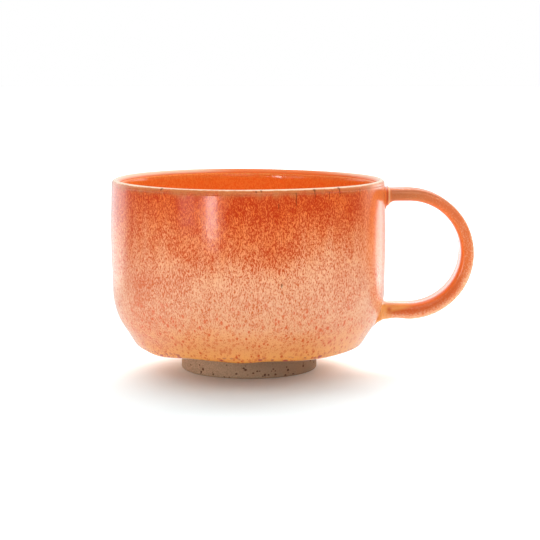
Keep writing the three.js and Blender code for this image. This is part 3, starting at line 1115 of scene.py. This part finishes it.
# flecked coat, tinted in lines along the strap: along goes from 0 at the upper joint to 1 at the
# lower one, outward from -1 on the inner side to 1 on the outer side, sideways to 1 at the edges
def handleMaterial():
    material, tree, shader = newMaterial("redOrangeHandleGlaze")
    place = cupPlace(tree)
    along, outward = attribute(tree, "along"), attribute(tree, "outward")
    sideways, wallAway = attribute(tree, "sideways"), attribute(tree, "wallAway")
    paleSide = product(tree, stepped(tree, outward, -0.4, 0.7), stepped(tree, along, 0.3, 0.62))
    redShare = calc(tree, "MULTIPLY_ADD", paleSide, handleLook["outerRed"], handleLook["redShare"])
    pattern = placeGroup(tree, flecks, {
        "Place": place,
        "Red Share": redShare,
        "Stretch": handleLook["stretch"],
        "Fineness": glazeLook["fineness"],
    })
    color = mixed(tree, pattern["Mask"], screen(*handleLook["pale"]), screen(*handleLook["deep"]))
    # along the edge faces: a dark middle, bright orange towards the inner side
    edgeFace = stepped(tree, sideways, *handleLook["edgeFace"])
    fade = stepped(tree, along, 0.62, 0.2, 0.25, 0.6)
    color = handleTint(tree, color, "edgeMiddle", edgeFace, hill(tree, outward, 0.15, 0.8), fade)
    color = handleTint(tree, color, "innerEdge", hill(tree, outward, -0.85, 0.5), 0.85)
    fade = stepped(tree, along, 0.5, 0.75)
    color = handleTint(tree, color, "lowerMiddle", edgeFace, hill(tree, outward, -0.25, 0.75), fade, 0.8)
    # thin coat near the upper joint lets the clay through
    color = handleTint(tree, color, "thin", stepped(tree, along, 0.2, 0.0), edgeFace, 0.75)
    fade = stepped(tree, along, 0.35, 0.15)
    color = handleTint(tree, color, "topLine", hill(tree, outward, 0.75, 0.3), fade, edgeFace, 0.7)
    body = outsideColor(tree, place)[0]
    color = mixed(tree, stepped(tree, wallAway, *handleLook["wallFade"]), body, color)
    # at the lower joint yellow glaze gathers and runs along the strap, with a red knot in it
    lower = stepped(tree, along, 0.5, 0.6)
    pool = product(tree, stepped(tree, wallAway, 5.0, 0.5), lower, 0.75)
    slant = calc(tree, "MULTIPLY_ADD", wallAway, handleLook["runSlant"], outward)
    run = product(tree, stepped(tree, wallAway, 14.0, 7.0), stepped(tree, slant, 0.4, -0.1), lower, 0.85)
    color = handleTint(tree, color, "yellowRun", calc(tree, "MAXIMUM", pool, run))
    spot = product(tree, hill(tree, wallAway, 2.8, 1.4), hill(tree, outward, -0.35, 0.45))
    color = handleTint(tree, color, "knot", spot, edgeFace, lower, 0.7)
    # at the upper joint it is dark in the crevice at the wall, and breaks cream over the collar
    upper = stepped(tree, along, 0.5, 0.4)
    color = handleTint(tree, color, "crevice", hill(tree, wallAway, 0.4, 0.5), upper, 0.8)
    ridge = hill(tree, wallAway, handle["collarAt"], 0.5)
    color = handleTint(tree, color, "ridge", ridge, upper, 0.85)
    glazeSurface(tree, shader, place, color, pattern["Mask"])
    return material


# shades of a clay's tint, and what marks it
clayLook = {
    "grainScale": 2.2,
    "cloudScale": 0.12,
    "darkGrain": 0.82,
    "lightGrain": 1.03,
    "cloudy": 0.85,
    "cloudShare": 0.35,
    "paintedShade": 0.74,  # painted shade: the clay darker towards +X, the side away from the light
    "shadeSide": (-22.0, 26.0),
    "shadeShare": 0.75,
    "pit": (84, 50, 28),
    "pitShare": 0.9,
    "rough": (0.95, 0.78),
    "shine": 0.2,
    "bump": 0.5,
    "bumpDepth": 0.12,
}


# grainy, cloudy clay with iron specks, painted shade darker to one side, and dark where a pit is
def clayMaterial(name, tint, pits):
    material, tree, shader = newMaterial(name)
    look, place = clayLook, cupPlace(tree)
    kinds = ("darkGrain", "lightGrain", "cloudy", "paintedShade")
    shades = {kind: screen(*[value * look[kind] for value in tint]) for kind in kinds}
    grain = noise(tree, place, look["grainScale"], 4.0, 0.75)
    cloud = noise(tree, place, look["cloudScale"])
    color = mixed(tree, stepped(tree, grain, 0.35, 0.65), shades["darkGrain"], shades["lightGrain"])
    color = mixed(tree, stepped(tree, cloud, 0.3, 0.7, 0.0, look["cloudShare"]), color, shades["cloudy"])
    # painted shade: darker towards +X, where less light falls
    x = sideAndHeight(tree, place)[0]
    paintedShade = stepped(tree, x, *look["shadeSide"], 0.0, look["shadeShare"])
    color = mixed(tree, paintedShade, color, shades["paintedShade"])
    color = speckled(tree, place, color, clayIron)
    if pits:
        dent = product(tree, stepped(tree, attribute(tree, "pit"), 0.25, 0.7), look["pitShare"])
        color = mixed(tree, dent, color, screen(*look["pit"]))
    tree.links.new(color, shader.inputs["Base Color"])
    tree.links.new(stepped(tree, grain, 0.2, 0.8, *look["rough"]), shader.inputs["Roughness"])
    shader.inputs["Specular IOR Level"].default_value = look["shine"]
    inputs = {"Strength": look["bump"], "Distance": look["bumpDepth"] * mm, "Height": grain}
    tree.links.new(addNode(tree, "ShaderNodeBump", inputs).outputs[0], shader.inputs["Normal"])
    return material


# gives a piece its only material
def dress(piece, material):
    piece.data.materials.clear()
    piece.data.materials.append(material)


clayTints = {"bare": (212, 181, 150), "inner": (164, 134, 110), "slip": (140, 110, 90)}
bareClay = clayMaterial("speckledClay", clayTints["bare"], True)
innerClay = clayMaterial("clayUnderGlaze", clayTints["inner"], False)
driedSlip = clayMaterial("driedSlip", clayTints["slip"], False)
dress(outerCoat, outsideMaterial())
dress(lipCoat, lipMaterial())
dress(linerCoat, insideMaterial())
dress(handleCoat, handleMaterial())
dress(footRing, bareClay)
dress(clayCup, innerClay)
dress(handleStrap, innerClay)
dress(upperJoint, driedSlip)
dress(lowerJoint, driedSlip)
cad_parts["foot_slip"].material_slots[0].material = driedSlip
print("materials done")


# studio: an even sky and soft suns, so that the floor is white everywhere but in the shadow
stage = {
    "floorSize": 8.0,
    "floorColor": (0.89, 0.965, 0.975, 1.0),  # of the sheet as it is seen
    "floorBounce": (0.84, 0.83, 0.825, 1.0),  # of the light that it sends back
    "behindBounce": (0.58, 0.57, 0.565, 1.0),  # and behind the mug, where no shadow lies
    "behindStart": (0.01, 0.1),  # metres from the cup's axis between which that starts
    "ambient": 0.34,
    "overhead": 0.5,  # what the glaze mirrors from above, and the heights between which that starts
    "overheadStart": (0.2, 0.45),
    "backdrop": 1.0,
    "sheetReach": (0.45, 0.12),  # metres over which the sheet fades in what the glaze mirrors
    "sheetSides": (0.5, 0.9),  # from the front to both sides
    "sheet": 1.0,  # its brightness there
}
# brightness that the glaze mirrors by bearing, in degrees from the front to the right
mirrorTable = [
    (-180, 0.8),
    (-165, 0.9),
    (-150, 1.0),
    (-124, 1.0),
    (-116, 0.4),
    (-100, 0.26),
    (-70, 0.18),
    (-40, 0.14),
    (-15, 0.1),
    (20, 0.1),
    (60, 0.1),
    (90, 0.14),
    (106, 0.25),
    (118, 1.0),
    (150, 1.0),
    (165, 0.9),
    (180, 0.8),
]


# looks the bearing of a vector up in the table: dark in front, white behind
def mirrorLight(tree, vector):
    split = addNode(tree, "ShaderNodeSeparateXYZ", {0: vector}).outputs
    forward = calc(tree, "MULTIPLY", split[1], -1.0)
    bearing = calc(tree, "ARCTAN2", split[0], forward)
    turn = calc(tree, "MULTIPLY_ADD", bearing, 0.5 / pi, 0.5)
    return ramped(tree, turn, [((angle + 180) / 360, grey(value)) for angle, value in mirrorTable])


# sheet: pale to the camera, another colour in the light that it sends back, and its own brightness
# where the glaze mirrors it
def makeFloor():
    half = stage["floorSize"] / 2
    mesh = bpy.data.meshes.new("studioFloor")
    corners = [(-half, -half, 0), (half, -half, 0), (half, half, 0), (-half, half, 0)]
    mesh.from_pydata(corners, [], [(0, 1, 2, 3)])
    floor = bpy.data.objects.new("studioFloor", mesh)
    bpy.context.scene.collection.objects.link(floor)
    material = bpy.data.materials.new("paleSheet")
    material.use_nodes = True
    tree = material.node_tree
    tree.nodes.clear()
    light = addNode(tree, "ShaderNodeLightPath").outputs
    place = addNode(tree, "ShaderNodeTexCoord").outputs["Object"]
    fromCup = vectorCalc(tree, "SUBTRACT", place, (axisX * mm, 0, 0))
    split = addNode(tree, "ShaderNodeSeparateXYZ", {0: fromCup}).outputs
    behind = stepped(tree, split[1], *stage["behindStart"])
    bounce = mixed(tree, behind, stage["floorBounce"], stage["behindBounce"])
    color = mixed(tree, light["Is Camera Ray"], bounce, stage["floorColor"])
    seen = addNode(tree, "ShaderNodeBsdfDiffuse", {"Color": color}).outputs[0]
    # close to the cup the sheet itself is mirrored, at both sides
    reach = vectorCalc(tree, "LENGTH", fromCup)
    aside = calc(tree, "DIVIDE", split[0], reach)
    beside = stepped(tree, calc(tree, "ABSOLUTE", aside), *stage["sheetSides"])
    close = product(tree, stepped(tree, reach, *stage["sheetReach"]), beside, stage["sheet"])
    bright = calc(tree, "MAXIMUM", mirrorLight(tree, fromCup), close)
    mirrored = addNode(tree, "ShaderNodeEmission", {"Strength": bright}).outputs[0]
    total = addNode(tree, "ShaderNodeMixShader", {0: light["Is Glossy Ray"], 1: seen, 2: mirrored})
    addNode(tree, "ShaderNodeOutputMaterial", {"Surface": total.outputs[0]})
    material.cycles.emission_sampling = "NONE"
    mesh.materials.append(material)
    return floor


# sky: even on the mug, white to the camera, and the mirrored brightness in the glaze
def makeWorld():
    world = bpy.data.worlds.new("paleStudio")
    bpy.context.scene.world = world
    world.use_nodes = True
    tree = world.node_tree
    tree.nodes.clear()
    light = addNode(tree, "ShaderNodeLightPath").outputs
    direction = addNode(tree, "ShaderNodeTexCoord").outputs["Generated"]
    height = addNode(tree, "ShaderNodeSeparateXYZ", {0: direction}).outputs[2]
    overhead = stepped(tree, height, *stage["overheadStart"], 0.0, stage["overhead"])
    mirrored = calc(tree, "MAXIMUM", mirrorLight(tree, direction), overhead)
    straight = calc(tree, "MAXIMUM", light["Is Camera Ray"], light["Is Transmission Ray"])
    inputs = {"Value": straight, "To Min": stage["ambient"], "To Max": stage["backdrop"]}
    strength = addNode(tree, "ShaderNodeMapRange", inputs).outputs[0]
    choice = addNode(tree, "ShaderNodeMix", {0: light["Is Glossy Ray"], 2: strength, 3: mirrored})
    inputs = {"Color": grey(1.0), "Strength": choice.outputs[0]}
    sky = addNode(tree, "ShaderNodeBackground", inputs).outputs[0]
    addNode(tree, "ShaderNodeOutputWorld", {"Surface": sky})


# turn that points a lamp from a place towards an aim
def aimed(place, aim):
    direction = np.array(aim) - np.array(place)
    flat = np.hypot(direction[0], direction[1])
    return (pi / 2 + atan2(direction[2], flat), 0, atan2(-direction[0], direction[1]))


# soft suns: name, direction they come from, spread in degrees, strength, what they light
suns = [
    ("frontSun", (0.2, -1.0, 0.16), 60, 0.22, "mug"),
    ("rightSun", (1.0, -0.1, 0.8), 60, 0.52, "mug"),
    ("backLeftSun", (-0.33, 1.0, 0.56), 50, 0.55, "mug"),
    ("backRightSun", (0.51, 1.0, 0.64), 50, 0.6, "mug"),
    ("topSun", (0.05, 0.26, 1.0), 45, 2.5, "mug"),
    ("sheetBackSun", (0.0, 1.0, 0.47), 45, 0.7, "sheet"),
    ("sheetBackLeftSun", (-0.33, 1.0, 0.56), 50, 3.4, "sheet"),
    ("sheetBackRightSun", (0.51, 1.0, 0.64), 50, 3.6, "sheet"),
    ("sheetLeftSun", (-0.9, 0.35, 0.45), 50, 0.9, "sheet"),
    ("sheetRightSun", (0.9, 0.35, 0.45), 50, 1.3, "sheet"),
    ("sheetTopSun", (0.05, 0.26, 1.0), 45, 0.25, "sheet"),
]
# panels that show as highlights: name, place in metres from the cup's axis, aim, width, height, watts
panels = [
    ("tallPanel", (-0.215, -0.39, 0.09), (0, 0, 0.09), 0.06, 0.12, 0.25),
    ("lowPanel", (-0.215, -0.39, 0.019), (0, 0, 0.019), 0.03, 0.022, 0.011),
    ("sidePanel", (-0.336, -0.292, 0.095), (0, 0, 0.095), 0.1, 0.12, 0.06),
    ("frontPanel", (0.1, -0.7, 0.34), (0, 0, 0.04), 0.4, 0.3, 0.35),
    ("leftRim", (-0.175, 0.138, 0.072), (-0.046, -0.015, 0.072), 0.146, 0.14, 0.047),
    ("rightRim", (0.18, 0.134, 0.072), (0.046, -0.015, 0.072), 0.075, 0.14, 0.05),
    ("backPanel", (0.05, 0.17, 0.035), (0.06, 0.0, 0.035), 0.09, 0.06, 0.014),
]


# lamp at a place from the cup's axis, turned to its aim
def addLamp(name, kind, place, aim):
    lamp = bpy.data.lights.new(name, kind)
    holder = bpy.data.objects.new(name, lamp)
    bpy.context.scene.collection.objects.link(holder)
    holder.location = np.array([axisX * mm, 0, 0]) + np.array(place)
    holder.rotation_euler = aimed(place, aim)
    return lamp, holder


# the sheet has suns of its own, so that it is white without more light on the mug
def makeLights(floor):
    receivers = {}
    for target, state in (("sheet", "INCLUDE"), ("mug", "EXCLUDE")):
        receivers[target] = bpy.data.collections.new(target + "Lit")
        receivers[target].objects.link(floor)
        receivers[target].collection_objects[0].light_linking.link_state = state
    for name, source, spread, strength, target in suns:
        lamp, holder = addLamp(name, "SUN", source, (0, 0, 0))
        lamp.angle = radians(spread)
        lamp.energy = strength
        holder.visible_glossy = False
        holder.light_linking.receiver_collection = receivers[target]
    for name, place, aim, width, height, power in panels:
        lamp, holder = addLamp(name, "AREA", place, aim)
        lamp.shape = "RECTANGLE"
        lamp.size, lamp.size_y = width, height
        lamp.energy = power
        holder.visible_camera = False


# camera: distance, height, tilt and turn measured on the photograph's outline
view = {
    "distance": 635.0,
    "height": 119.65,
    "tilt": 0.1307,
    "turn": 0.01262,
    "focal": 1728.75,  # in pixels of the 540 pixel frame
    "frame": 540,
    "sensor": 36.0,
}


# lens from the focal length in pixels: times the sensor, over the frame
def makeCamera():
    data = bpy.data.cameras.new("photoCamera")
    data.sensor_fit = "HORIZONTAL"
    data.sensor_width = view["sensor"]
    data.lens = view["focal"] * view["sensor"] / view["frame"]
    camera = bpy.data.objects.new("photoCamera", data)
    bpy.context.scene.collection.objects.link(camera)
    camera.location = (axisX * mm, -view["distance"] * mm, view["height"] * mm)
    camera.rotation_euler = (pi / 2 - view["tilt"], 0, -view["turn"])
    bpy.context.scene.camera = camera


makeLights(makeFloor())
makeWorld()
makeCamera()
bpy.context.scene.view_settings.view_transform = "Standard"
print("stage done")
